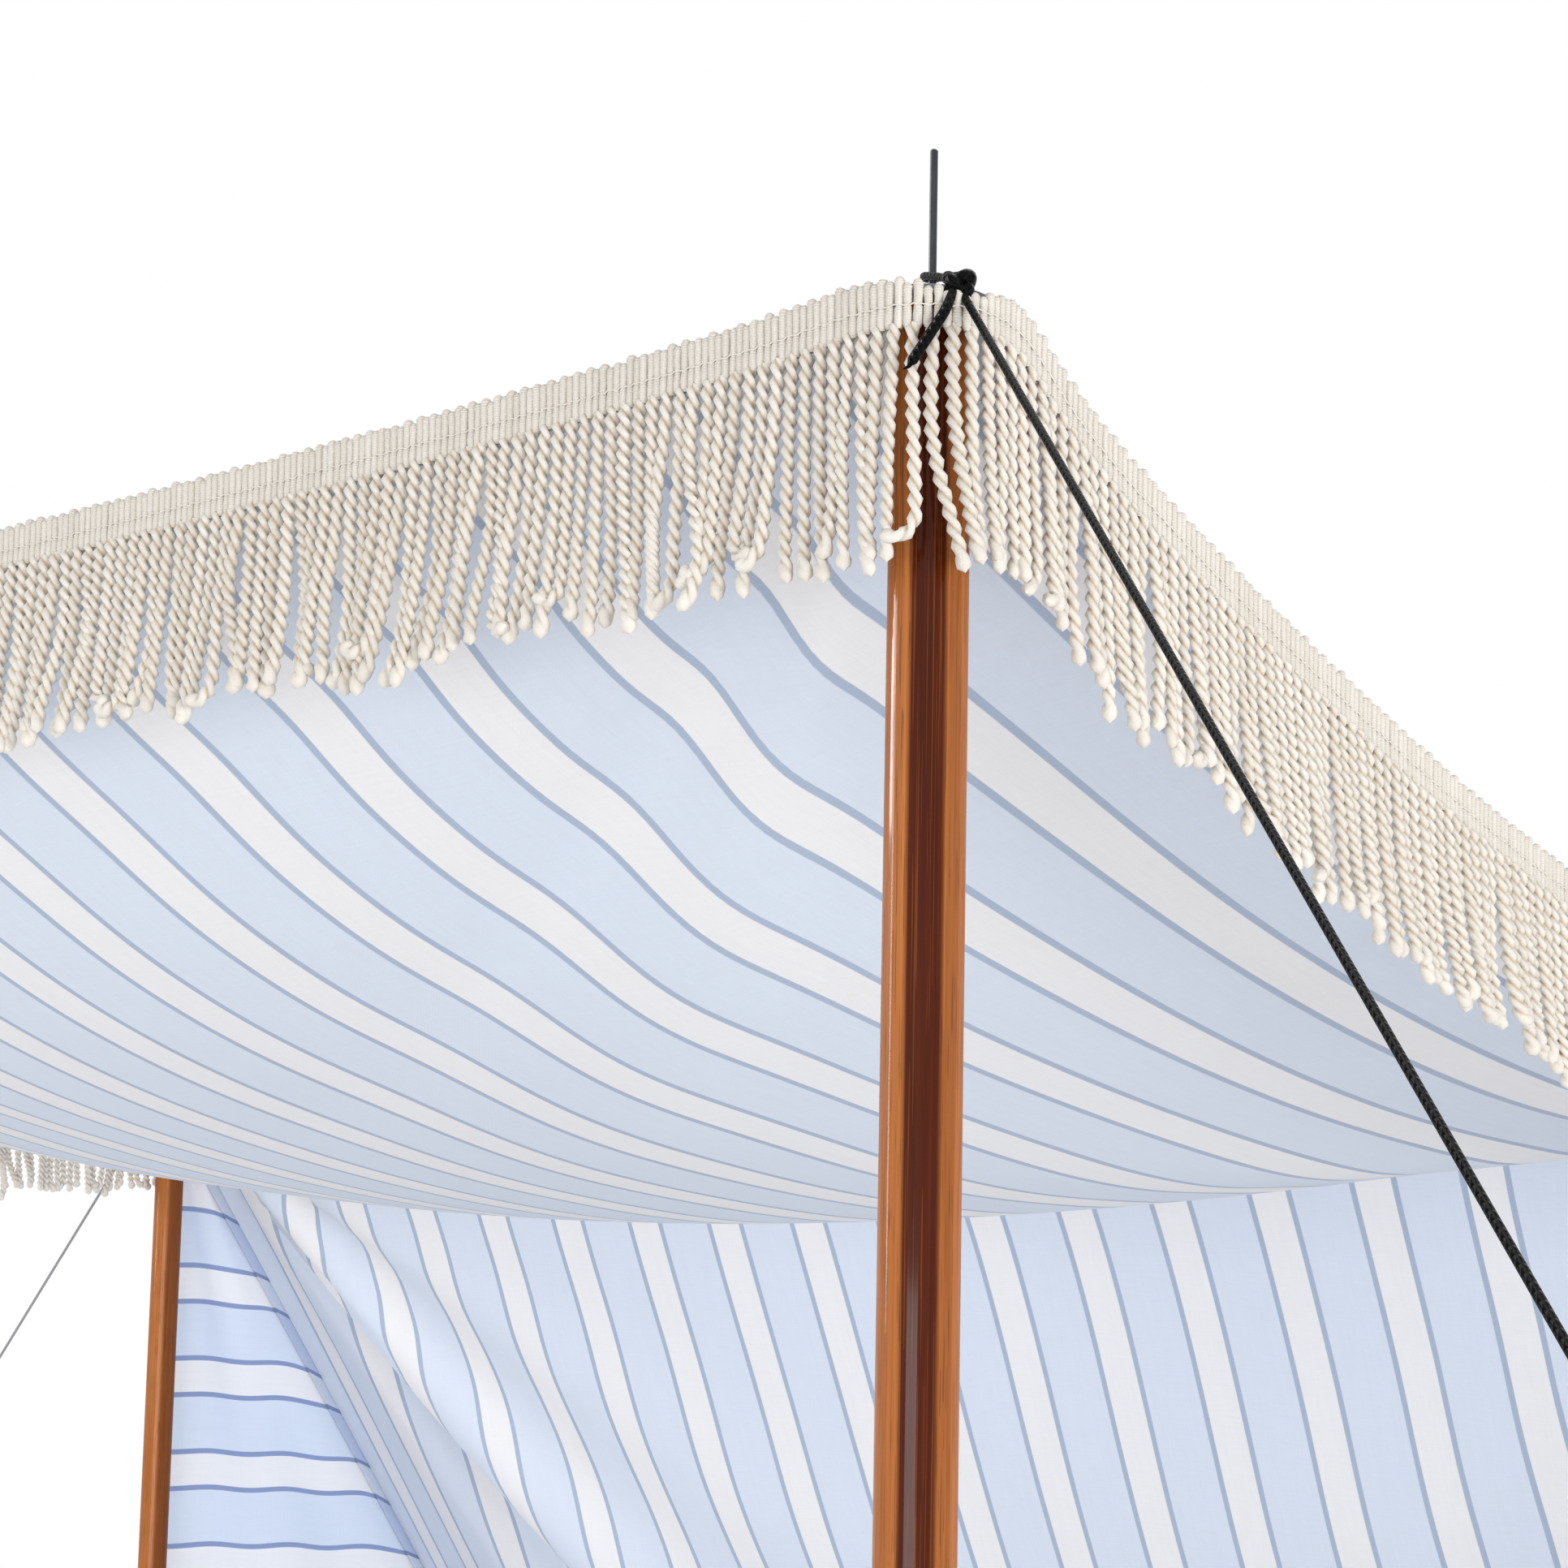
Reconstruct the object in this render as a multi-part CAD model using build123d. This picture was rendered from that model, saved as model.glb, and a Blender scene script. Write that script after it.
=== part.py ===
# Beach canopy on four wooden poles, fringed on three edges, with a sloping windbreak wall at the back
# Lengths in millimetres; z = 0 is the ground, x runs along the front, y from the front to the back
import os
from math import atan2, cos, degrees, hypot, pi, sin
from build123d import *

# Layout: the poles stand on these centres, and cloth, fringe and cords take their places from them
pole_spacing_width = 1970.0
pole_spacing_depth = 1250.0
back_run = 1075.0

# Poles: turned wooden rods with a softened rim and a steel pin set in the end grain
front_pole_height = 1694.0
rear_pole_height = 1444.0
pole_diameter = 30.0
pole_rim = 2.5
pin_diameter = 3.0
pin_rise = 62.0
pin_depth = 45.0
pin_clearance = 0.05

# Roof cloth: reaches past the poles all round and hangs in a belly between its edges
roof_overhang = 25.0
cloth_thickness = 2.0
roof_belly = 104.0
front_edge_sag = 34.0
rear_edge_sag = 10.0
side_edge_sag = 92.0
belly_power_across = 2
belly_power_along = 4
seat_reach = 20.0
seat_clearance = 0.3
seam_clearance = 0.3
roof_stations = 21

# Back wall and side wings: the wall slopes from the rear edge to the ground and bellies inward
wall_belly = 110.0
wall_belly_power = 4
wall_stations = 11
wing_inset = 2.0

# Eyelets: brass rings that line the holes in the roof corners
eyelet_diameter = 16.0
eyelet_bore = 4.4
eyelet_height = 6.0
eyelet_bevel = 0.8

# Fringe: a corded heading with a skirt of twisted strands under it
heading_height = 22.0
heading_thickness = 4.5
heading_rise = 2.0
strand_length = 86.0
strand_thickness = 6.2
fringe_stations = 13

# Guy cords: a loop round the pin, a knot outside the fringe, a tail, and a taut rope to a peg
cord_diameter = 3.2
cord_clearance = 0.3
knot_diameter = 13.0
tail_diameter = 4.4
tail_length = 34.0
tail_out_share = 0.12
tail_lean_share = 0.6
front_guy_side_run = 1480.0
front_guy_forward_run = 800.0
rear_guy_side_run = 1420.0
rear_guy_backward_run = 100.0

# Pegs: steel rods with a hooked head, one to each guy and three along the hem of the back wall
peg_diameter = 8.0
peg_rise = 62.0
peg_hook_radius = 11.0
peg_hook_leg = 14.0
guy_loop_height = 30.0
hem_loop_width = 26.0
hem_loop_reach = 44.0
hem_loop_thickness = 2.4
hem_loop_inset = 60.0
overrun = 20.0

# Sizes worked out from those above
pole_radius = pole_diameter / 2
pin_radius = pin_diameter / 2
cord_radius = cord_diameter / 2
knot_radius = knot_diameter / 2
peg_radius = peg_diameter / 2
half_width = pole_spacing_width / 2
half_depth = pole_spacing_depth / 2
roof_half_width = half_width + roof_overhang
roof_half_depth = half_depth + roof_overhang
roof_drop = front_pole_height - rear_pole_height
front_guy_angle = atan2(-front_guy_forward_run, front_guy_side_run)
rear_guy_angle = atan2(rear_guy_backward_run, rear_guy_side_run)


def limited(value):
    return max(-1, min(1, value))


# How far the cloth lies under its front corners: flat over the pole ends, in a belly between them
def roof_sag(x, depth):
    u = limited(x / (half_width - seat_reach))
    v = limited(depth / (half_depth - seat_reach))
    edge = front_edge_sag * (1 - v) / 2 + rear_edge_sag * (1 + v) / 2
    across = 1 - abs(x / roof_half_width) ** belly_power_across
    along = 1 - abs(depth / roof_half_depth) ** belly_power_along
    tilt = roof_drop * (1 + v) / 2
    return tilt + edge * (1 - u * u) + side_edge_sag * (1 - v * v) + roof_belly * across * along


# The lowest point of the cloth over a pole end sets how high the roof corners lie
shoulder_sag = roof_sag(half_width - pole_radius, pole_radius - half_depth)
corner_height = front_pole_height + seat_clearance + cloth_thickness + shoulder_sag
rear_corner_height = corner_height - roof_drop

# Direction square to the slope of the back wall
wall_slope = hypot(back_run, rear_corner_height)
normal_y = rear_corner_height / wall_slope
normal_z = back_run / wall_slope
hem_step = cloth_thickness * normal_y + seam_clearance

# The origin sits on the ground under the middle of the whole footprint, guys and pegs included
hook_reach = peg_hook_radius * 2
hem_peg_offset = hem_loop_reach / 2
front_end = -front_guy_forward_run + sin(front_guy_angle) * hook_reach - peg_radius
wall_start = pole_spacing_depth + roof_overhang + seam_clearance
rear_end = wall_start + back_run + hem_step + hem_peg_offset + hook_reach + peg_radius
front_line = -(front_end + rear_end) / 2
rear_line = front_line + pole_spacing_depth
roof_middle = front_line + half_depth
roof_front = front_line - roof_overhang
roof_rear = rear_line + roof_overhang


def roof_height(x, y):
    return corner_height - roof_sag(x, y - roof_middle)


def spread(low, high, count):
    step = (high - low) / (count - 1)
    return [low + step * index for index in range(count)]


# Stations that crowd towards both ends, where the cloth bends most
def crowded(low, high, count):
    middle = (low + high) / 2
    reach = (high - low) / 2
    return [middle - reach * cos(pi * index / (count - 1)) for index in range(count)]


def save(solid, name):
    export_step(solid, f"parts/{name}.step")


os.makedirs("parts", exist_ok=True)

# For each corner: side, place along y, pole height, direction and runs of its guy
front_guy = (front_guy_angle, front_guy_side_run, -front_guy_forward_run)
rear_guy = (rear_guy_angle, rear_guy_side_run, rear_guy_backward_run)
corners = {
    "front_right": (1, front_line, front_pole_height, front_guy),
    "front_left": (-1, front_line, front_pole_height, front_guy),
    "rear_right": (1, rear_line, rear_pole_height, rear_guy),
    "rear_left": (-1, rear_line, rear_pole_height, rear_guy),
}

# Poles, pins and eyelets
for name, (side, y, height, guy) in corners.items():
    foot = Location((side * half_width, y, 0))
    rod = extrude(Circle(pole_radius), height)
    rod = fillet(rod.edges().group_by(Axis.Z)[-1], pole_rim)
    socket = extrude(Circle(pin_radius + pin_clearance), pin_depth + overrun)
    save(foot * (rod - Pos(0, 0, height - pin_depth) * socket), f"pole_{name}")

    pin = extrude(Circle(pin_radius), pin_depth + pin_rise)
    pin = chamfer(pin.edges().group_by(Axis.Z)[-1], pin_radius / 3)
    save(foot * Pos(0, 0, height - pin_depth) * pin, f"pin_{name}")

    ring = extrude(Circle(eyelet_diameter / 2) - Circle(eyelet_bore / 2), eyelet_height)
    ring = chamfer(ring.edges().group_by(Axis.Z)[-1], eyelet_bevel)
    save(foot * Pos(0, 0, height) * ring, f"eyelet_{name}")

# Roof cloth: one sagging sheet with rounded front corners and a hole for each eyelet
roof_rows = []
for x in crowded(-roof_half_width, roof_half_width, roof_stations):
    row = [(x, y, roof_height(x, y)) for y in crowded(roof_front, roof_rear, roof_stations)]
    roof_rows.append(row)
roof_skin = Face.make_surface_from_array_of_points(roof_rows)
roof = extrude(roof_skin, cloth_thickness, dir=(0, 0, -1))
tool_height = max(corner_height, rear_corner_height) + overrun
for name, (side, y, height, guy) in corners.items():
    axis = Location((side * half_width, y, 0))
    hole = extrude(Circle(eyelet_diameter / 2 + seam_clearance), tool_height)
    roof = roof - axis * hole
    if y == front_line:
        outer = roof_overhang + overrun
        block = Pos(side * outer / 2, -outer / 2) * Rectangle(outer, outer)
        roof = roof - axis * extrude(block - Circle(roof_overhang), tool_height)
save(roof, "roof_cloth")

# Back wall: a sheet from the rear edge of the roof down to the ground
wall_top = front_line + wall_start
wall_hem = wall_top + back_run
wing_line = roof_half_width - wing_inset
wall_half_width = wing_line - cloth_thickness / 2 - seam_clearance
wall_rows = []
for x in spread(-wall_half_width, wall_half_width, wall_stations):
    top = roof_height(x, roof_rear)
    across = 1 - abs(x / wall_half_width) ** wall_belly_power
    row = []
    for t in spread(0, 1, wall_stations):
        dent = wall_belly * 4 * t * (1 - t) * across
        row.append((x, wall_top + back_run * t - dent * normal_y, top * (1 - t) - dent * normal_z))
    wall_rows.append(row)
wall_skin = Face.make_surface_from_array_of_points(wall_rows)
wall = extrude(wall_skin, cloth_thickness, dir=(0, normal_y, normal_z))
save(wall, "back_wall")

# Side wings: triangles that close the space between the rear poles and the back wall
wing_front = rear_line + pole_radius + seam_clearance
wing_top = rear_corner_height - cloth_thickness - shoulder_sag - seat_clearance
outer_shift = cloth_thickness / normal_y
wing_rear_high = min(wall_top + outer_shift + back_run * (1 - wing_top / rear_corner_height), roof_rear)
wing_side = Polyline(
    (wing_front, 0),
    (wall_hem + outer_shift, 0),
    (wing_rear_high, wing_top),
    (wing_front, wing_top),
    close=True,
)
for name, side in {"right": 1, "left": -1}.items():
    plane = Plane((side * wing_line, 0, 0), x_dir=(0, 1, 0), z_dir=(1, 0, 0))
    wing = extrude(plane * make_face(wing_side), cloth_thickness / 2, both=True)
    save(wing, f"side_wing_{name}")


# A strip of cloth edge seen flat: places along it with their heights, and how far it hangs below them
def hanging_strip(edge, start, end):
    upper = Spline([(along, height - start) for along, height in edge])
    lower = Spline([(along, height - end) for along, height in edge])
    return make_face([upper, Line(upper @ 1, lower @ 1), lower, Line(lower @ 0, upper @ 0)])


# Fringes: heading and skirt hang outside the edge of the roof and follow its sag
fringe_inner = roof_overhang + seam_clearance
fringe_drop = heading_height + strand_length
for name, side in {"right": 1, "left": -1}.items():
    plane = Plane((side * (half_width + fringe_inner), 0, 0), x_dir=(0, 1, 0), z_dir=(1, 0, 0))
    edge = [(y, roof_height(roof_half_width, y)) for y in spread(front_line, roof_rear, fringe_stations)]
    head = extrude(plane * hanging_strip(edge, -heading_rise, heading_height), side * heading_thickness)
    skirt = extrude(plane * hanging_strip(edge, heading_height, fringe_drop), side * strand_thickness)
    save(head + skirt, f"fringe_{name}")

front_plane = Plane((0, front_line - fringe_inner, 0), x_dir=(1, 0, 0), z_dir=(0, -1, 0))
edge = [(x, roof_height(x, roof_front)) for x in spread(-half_width, half_width, fringe_stations)]
fringe = extrude(front_plane * hanging_strip(edge, -heading_rise, heading_height), heading_thickness)
fringe = fringe + extrude(front_plane * hanging_strip(edge, heading_height, fringe_drop), strand_thickness)
for side in (1, -1):
    reach = fringe_inner + strand_thickness + overrun
    quarter = Pos(side * reach / 2, -reach / 2) * Rectangle(reach, reach)
    head_bend = (Circle(fringe_inner + heading_thickness) - Circle(fringe_inner)) & quarter
    skirt_bend = (Circle(fringe_inner + strand_thickness) - Circle(fringe_inner)) & quarter
    bend = extrude(head_bend, heading_height + heading_rise)
    bend = bend + Pos(0, 0, -strand_length) * extrude(skirt_bend, strand_length)
    fringe = fringe + Location((side * half_width, front_line, corner_height - heading_height)) * bend
save(fringe, "fringe_front")


# A peg from the ground up, with its hook bent away from the tent
def hooked_peg():
    shank = Line((0, 0), (0, peg_rise))
    bend = CenterArc((peg_hook_radius, peg_rise), peg_hook_radius, 180, -180)
    leg = Line(bend @ 1, (hook_reach, peg_rise - peg_hook_leg))
    return sweep(Circle(peg_radius), Plane.XZ * Wire([shank, bend, leg]))


# Knots, guy ropes and pegs, one set to each corner
loop_rise = corner_height - front_pole_height + heading_rise + seat_clearance + cord_radius
loop_radius = pin_radius + cord_clearance + cord_radius
knot_reach = fringe_inner + strand_thickness + seam_clearance + knot_radius
peg_loop_radius = peg_radius + cord_clearance + cord_radius
for name, (side, y, height, (angle, run_x, run_y)) in corners.items():
    turn = degrees(angle) if side > 0 else 180 - degrees(angle)
    reach = knot_reach / cos(angle) if y == rear_line else knot_reach
    axis = Location((side * half_width, y, height + loop_rise), (0, 0, turn))
    bow = CenterArc((0, 0), loop_radius, 90, 180)
    near = Line((reach, loop_radius / 2), bow @ 0)
    far = Line(bow @ 1, (reach, -loop_radius / 2))
    loop = sweep(Plane(near @ 0, z_dir=near % 0) * Circle(cord_radius), Wire([near, bow, far]))
    knot = Pos(reach, 0, 0) * Sphere(knot_radius)
    tail_plane = Plane((reach, 0, 0), z_dir=(tail_out_share, -tail_lean_share, -1))
    tail = extrude(tail_plane * Circle(tail_diameter / 2), tail_length)
    save(axis * (loop + knot + tail), f"knot_{name}")

    peg_place = Location((side * (half_width + run_x), y + run_y, 0), (0, 0, turn))
    save(peg_place * hooked_peg(), f"guy_peg_{name}")

    upper = (axis * Pos(reach, 0, 0)).position
    ring_place = peg_place * Pos(0, 0, guy_loop_height)
    lower = (ring_place * Pos(-peg_loop_radius, 0, 0)).position
    rope_length = (upper - lower).length - knot_radius - cord_clearance
    rope = extrude(Plane(lower, z_dir=upper - lower) * Circle(cord_radius), rope_length)
    save(rope + ring_place * Torus(peg_loop_radius, cord_radius), f"guy_rope_{name}")

# Loops and pegs along the hem of the back wall
hem_edge = wall_hem + hem_step
hem_places = {"left": hem_loop_inset - half_width, "middle": 0, "right": half_width - hem_loop_inset}
for name, x in hem_places.items():
    strap = Pos(x, hem_edge + hem_loop_reach / 2) * Rectangle(hem_loop_width, hem_loop_reach)
    eye = Pos(x, hem_edge + hem_peg_offset) * Circle(peg_radius + cord_clearance)
    save(extrude(strap - eye, hem_loop_thickness), f"hem_loop_{name}")
    place = Location((x, hem_edge + hem_peg_offset, 0), (0, 0, 90))
    save(place * hooked_peg(), f"hem_peg_{name}")
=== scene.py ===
import math

import bpy
import numpy as np
from mathutils import Matrix, Vector


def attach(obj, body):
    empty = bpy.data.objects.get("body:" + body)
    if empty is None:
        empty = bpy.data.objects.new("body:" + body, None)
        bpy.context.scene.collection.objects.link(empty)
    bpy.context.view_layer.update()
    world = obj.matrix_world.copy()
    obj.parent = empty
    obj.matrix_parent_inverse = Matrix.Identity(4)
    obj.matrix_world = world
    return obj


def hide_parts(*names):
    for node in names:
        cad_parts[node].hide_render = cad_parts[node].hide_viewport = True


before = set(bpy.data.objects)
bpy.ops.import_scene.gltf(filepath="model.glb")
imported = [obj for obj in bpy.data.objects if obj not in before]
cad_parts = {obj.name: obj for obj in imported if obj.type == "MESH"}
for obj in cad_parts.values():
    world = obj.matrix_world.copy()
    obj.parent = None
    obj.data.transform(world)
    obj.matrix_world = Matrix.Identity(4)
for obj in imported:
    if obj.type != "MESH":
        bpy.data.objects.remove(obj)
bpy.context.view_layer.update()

# Poles: four turned hardwood rods, stained reddish brown and varnished to a gloss.
# The rear pair is shorter. Each stands on the ground under a corner of the roof,
# and its end grain is bored for a steel pin.
half_width = 0.985
front_line = -0.792872
rear_line = 0.457128
corners = {
    "front_right": (half_width, front_line, 1.694),
    "front_left": (-half_width, front_line, 1.694),
    "rear_right": (half_width, rear_line, 1.444),
    "rear_left": (-half_width, rear_line, 1.444),
}


class Wire:
    """One socket of a finish. Sums of wires and numbers add the Math nodes that work them out."""

    def __init__(self, tree, socket=None):
        self.tree = tree
        self.socket = socket

    def node(self, kind, settings, sockets, out=0):
        made = self.tree.nodes.new("ShaderNode" + kind)
        for name, value in settings.items():
            if name == "stops":
                for stop, (place, shade) in zip(made.color_ramp.elements, value):
                    stop.position = place
                    stop.color = (shade, shade, shade, 1)
            else:
                setattr(made, name, value)
        for name, value in sockets.items():
            if isinstance(value, Wire):
                self.tree.links.new(value.socket, made.inputs[name])
            else:
                made.inputs[name].default_value = value
        return Wire(self.tree, made.outputs[out])

    def maths(self, operation, *others, clamp=False):
        settings = {"operation": operation, "use_clamp": clamp}
        return self.node("Math", settings, dict(enumerate((self, *others))))

    def mix(self, first, second, share, way="MIX"):
        settings = {"data_type": "RGBA", "blend_type": way}
        return self.node("Mix", settings, {0: share, 6: first, 7: second}, out=2)

    def grey(self):
        return self.node("CombineColor", {}, {0: self, 1: self, 2: self})

    def into(self, socket):
        self.tree.links.new(self.socket, self.tree.nodes["Principled BSDF"].inputs[socket])

    def raise_by(self, depth, strength=1.0):
        bump = self.node("Bump", {}, {"Height": self, "Distance": depth, "Strength": strength})
        bump.into("Normal")

    def __add__(self, other):
        return self.maths("ADD", other)

    def __sub__(self, other):
        return self.maths("SUBTRACT", other)

    def __rsub__(self, other):
        return self.maths("MULTIPLY_ADD", -1.0, other)

    def __mul__(self, other):
        return self.maths("MULTIPLY", other)

    def __truediv__(self, other):
        return self.maths("DIVIDE", other)

    __radd__ = __add__
    __rmul__ = __mul__


def shade(red, green, blue):
    def straight(level):
        level = level / 255
        return level / 12.92 if level <= 0.04045 else ((level + 0.055) / 1.055) ** 2.4

    return (straight(red), straight(green), straight(blue), 1.0)


def new_finish(name, **constants):
    material = bpy.data.materials.new(name)
    material.use_nodes = True
    shader = material.node_tree.nodes["Principled BSDF"]
    for socket, value in constants.items():
        shader.inputs[socket.replace("_", " ")].default_value = value
    return material, Wire(material.node_tree)


def speckle(wire, place, size, detail=2.0, stretch=(1, 1, 1)):
    spread = wire.node("Mapping", {}, {"Vector": place, "Scale": stretch})
    return wire.node("TexNoise", {}, {"Vector": spread, "Scale": 1 / size, "Detail": detail})


def make_piece(name, points, faces, material, slot, nodes=(), sharp=None, **fields):
    mesh = bpy.data.meshes.new(name)
    vertices = np.asarray(points, float).reshape(-1, 3)
    mesh.from_pydata(vertices.tolist(), [], np.asarray(faces).tolist())
    for field, values in fields.items():
        layer = mesh.attributes.new(field, "FLOAT", "POINT")
        layer.data.foreach_set("value", np.asarray(values, np.float32).ravel())
    mesh.shade_smooth()
    if sharp:
        mesh.set_sharp_from_angle(angle=math.radians(sharp))
    mesh.materials.append(material)
    piece = bpy.data.objects.new(name, mesh)
    bpy.context.scene.collection.objects.link(piece)
    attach(piece, "root")
    if nodes:
        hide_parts(*nodes)
    return piece


def ring_faces(rings, sides, first=0):
    ring, side = np.meshgrid(np.arange(rings - 1), np.arange(sides), indexing="ij")
    near = ring * sides + side
    far = ring * sides + (side + 1) % sides
    return np.stack([near, far, far + sides, near + sides], -1).reshape(-1, 4) + first


def turned(profile, x, y, sides):
    around = np.linspace(0, 2 * np.pi, sides, endpoint=False)
    radius, height = np.array(profile).T
    points = np.zeros((len(profile), sides, 3))
    points[..., 0] = x + radius[:, None] * np.cos(around)
    points[..., 1] = y + radius[:, None] * np.sin(around)
    points[..., 2] = height[:, None]
    return points, ring_faces(len(profile), sides)


varnish, w = new_finish("varnished_hardwood", Coat_Roughness=0.07, Coat_IOR=1.45, IOR=1.1)
place = w.node("TexCoord", {}, {}, out="Object")
heart = w.node("Attribute", {"attribute_name": "heart"}, {}, out="Fac")
grain = speckle(w, place, 0.0011, 3.0, (1, 1, 0.010))
figure = speckle(w, place, 0.008, 2.0, (1, 1, 0.04))
pores = speckle(w, place, 0.0006, 1.0, (1, 1, 0.02)).maths("GREATER_THAN", 0.63)
glints = speckle(w, place, 0.0007, 1.0, (1, 1, 0.006)).maths("GREATER_THAN", 0.64)
scuffs = speckle(w, place, 0.03, 4.0, (1, 1, 0.5))
tone = (grain * 1.2 + figure * 0.8 - 0.5).maths("ADD", 0.0, clamp=True)
# The stained brown turns dark along a band of painted shade down each pole, and less dark along a
# flank beside it.
stained_wood = w.mix(shade(154, 86, 38), shade(190, 118, 62), tone)
heartwood = w.mix(shade(54, 15, 1), shade(86, 31, 4), tone)
brown = w.mix(stained_wood, heartwood, heart)
brown = w.mix(brown, shade(58, 22, 8), pores * 0.4)
brown = w.mix(brown, shade(186, 108, 48), glints * 0.16)
height = w.node("SeparateXYZ", {}, {"Vector": place}, out=2)
dirty = ((0.05 - height) / 0.05).maths("MULTIPLY", scuffs, clamp=True)
w.mix(brown, shade(120, 100, 78), dirty * 0.8).into("Base Color")
(0.3 + scuffs * 0.16 + dirty * 0.3).into("Roughness")
(0.3 - dirty * 0.2).into("Coat Weight")
(grain - pores * 0.5).raise_by(0.00006)

pole_radius = 0.015
rim_round = 0.0025
bore_radius = 0.0016
bore_depth = 0.02
heart_blur = 7
flank_spread = 13
flank_depth = 0.36
# Painted shade down each pole: where it faces and half its spread in degrees, and how dark it is.
painted_shade_faces = {
    "front_right": (-51.5, 27, 1.0),
    "front_left": (-118, 28, 0.9),
    "rear_right": (148, 34, 0.8),
    "rear_left": (6, 42, 0.62),
}
for name, (x, y, top) in corners.items():
    rim = [
        (pole_radius - rim_round * (1 - math.cos(a)), top - rim_round * (1 - math.sin(a)))
        for a in np.linspace(0, math.pi / 2, 5)
    ]
    shaft = [(pole_radius, h) for h in np.linspace(0.001, top - 0.02, 26)]
    foot = [(0.0005, 0.0), (pole_radius - 0.001, 0.0)]
    profile = [*foot, *shaft, *rim, (bore_radius, top), (bore_radius, top - bore_depth)]
    points, faces = turned(profile, x, y, 96)
    middle, spread, depth = painted_shade_faces[name]
    levels = points[..., 2]
    wander = 2 * np.sin(levels * 3.1 + middle) + np.sin(levels * 7.7 + spread)
    off = np.degrees(np.arctan2(points[..., 1] - y, points[..., 0] - x)) - middle - wander
    off = (off + 180) % 360 - 180
    # A band of painted shade round the given facing, and a fainter flank of painted shade beside
    # it.
    heart = np.clip((spread - np.abs(off)) / heart_blur + 0.5, 0, 1)
    flank_off = np.abs(off - spread - flank_spread)
    flank = np.clip((flank_spread - flank_off) / heart_blur + 0.5, 0, 1)
    make_piece(
        f"pole_shaft_{name}",
        points,
        faces,
        varnish,
        "pole_wood",
        [f"pole_{name}"],
        sharp=40,
        heart=np.maximum(heart * depth, flank * flank_depth),
    )

# Pins: plain steel rods, dull dark grey, driven into the end grain of each pole.
# They come up through the eyelet of the roof and take the loop of the guy cord.
steel, w = new_finish("dull_steel", Metallic=0.85)
place = w.node("TexCoord", {}, {}, out="Object")
drawn = speckle(w, place, 0.0012, 2.0, (1, 1, 0.1))
blotch = speckle(w, place, 0.006, 3.0)
w.mix(shade(44, 46, 50), shade(80, 82, 86), drawn * 0.6 + blotch * 0.4).into("Base Color")
(0.34 + blotch * 0.25).into("Roughness")
drawn.raise_by(0.00004)
pin_radius = 0.0015
pin_sunk = 0.045
pin_stands = 0.062
for name, (x, y, top) in corners.items():
    tip = top + pin_stands
    head = [(pin_radius, tip - 0.0006), (pin_radius * 0.6, tip), (0.0001, tip)]
    profile = [(pin_radius, top - pin_sunk), *head]
    points, faces = turned(profile, x, y, 20)
    make_piece(f"pin_rod_{name}", points, faces, steel, "pin_steel", [f"pin_{name}"], sharp=40)

# Roof: one width of cotton canvas, light blue with white bands edged by grey-blue lines.
# The bands run front to back. It hangs by its corners from the pins, sags in a belly
# between them and pulls into folds at the corners.
roof_middle = (front_line + rear_line) / 2
roof_half_width = half_width + 0.025
roof_half_depth = (rear_line - front_line) / 2 + 0.025
corner_level = 1.6975
roof_drop = 0.250
front_sag = 0.035
rear_sag = 0.008
side_sag = 0.084
belly = 0.104
fold_reach = 1.113
fold_start = 0.2
seat_lift = 0.0035
seat_spread = 0.038
# Folds that fan out from each corner: rise in mm, bearing and breadth in degrees.
fold_sets = {
    "front_right": [
        (-13.6, 39.0, 6.2),
        (7.1, 30.4, 4.6),
        (-1.9, 23.3, 7.6),
        (8.2, 11.1, 4.2),
        (9.4, 65.0, 12.8),
    ],
    "front_left": [
        (-11.0, 43.0, 6.8),
        (6.0, 32.0, 5.0),
        (-2.5, 24.0, 6.0),
        (6.0, 13.0, 4.6),
        (8.0, 63.0, 12.0),
    ],
    "rear_right": [(-5.0, 47.0, 8.0), (3.0, 34.0, 6.0), (3.0, 62.0, 9.0)],
    "rear_left": [(-4.0, 44.0, 8.0), (3.5, 31.0, 6.0), (2.5, 60.0, 9.0)],
}


def roof_height(x, y):
    u = np.clip(x / roof_half_width, -1, 1)
    v = np.clip((y - roof_middle) / roof_half_depth, -1, 1)
    edge = front_sag * (1 - v) / 2 + rear_sag * (1 + v) / 2
    sag = roof_drop * (1 + v) / 2 + edge * (1 - u * u) + side_sag * (1 - v * v)
    level = corner_level - sag - belly * (1 - u * u) * (1 - v**4)
    for name, (px, py, top) in corners.items():
        inward = np.abs(x - px)
        along = np.abs(y - py) * np.where((y - py) * (roof_middle - py) > 0, 1, -1)
        reach = np.hypot(inward, along)
        bearing = np.degrees(np.arctan2(along, inward))
        swell = np.clip(1 - reach / fold_reach, 0, None)
        swell = swell * (1 - np.exp(-((reach / fold_start) ** 2)))
        for rise, middle, breadth in fold_sets[name]:
            fan = np.exp(-(((bearing - middle) / breadth) ** 2))
            level = level + 0.001 * rise * swell * fan
    for px, py, top in corners.values():
        seat = top + seat_lift
        hold = 1 / (1 + (np.hypot(x - px, y - py) / seat_spread) ** 4)
        level = level + hold * (seat - level)
    return level


def grid_faces(rows, columns):
    row, column = np.meshgrid(np.arange(rows - 1), np.arange(columns - 1), indexing="ij")
    near = row * columns + column
    return np.stack([near, near + 1, near + columns + 1, near + columns], -1).reshape(-1, 4)


def edge_at(distance, place, blur=0.0007):
    return ((distance - place) / blur).maths("ADD", 0.5, clamp=True)


stripe_repeat = 0.1
white_half = 0.0195
line_inner = 0.0168
line_outer = 0.0222
thread_pitch = 0.0009


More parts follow.
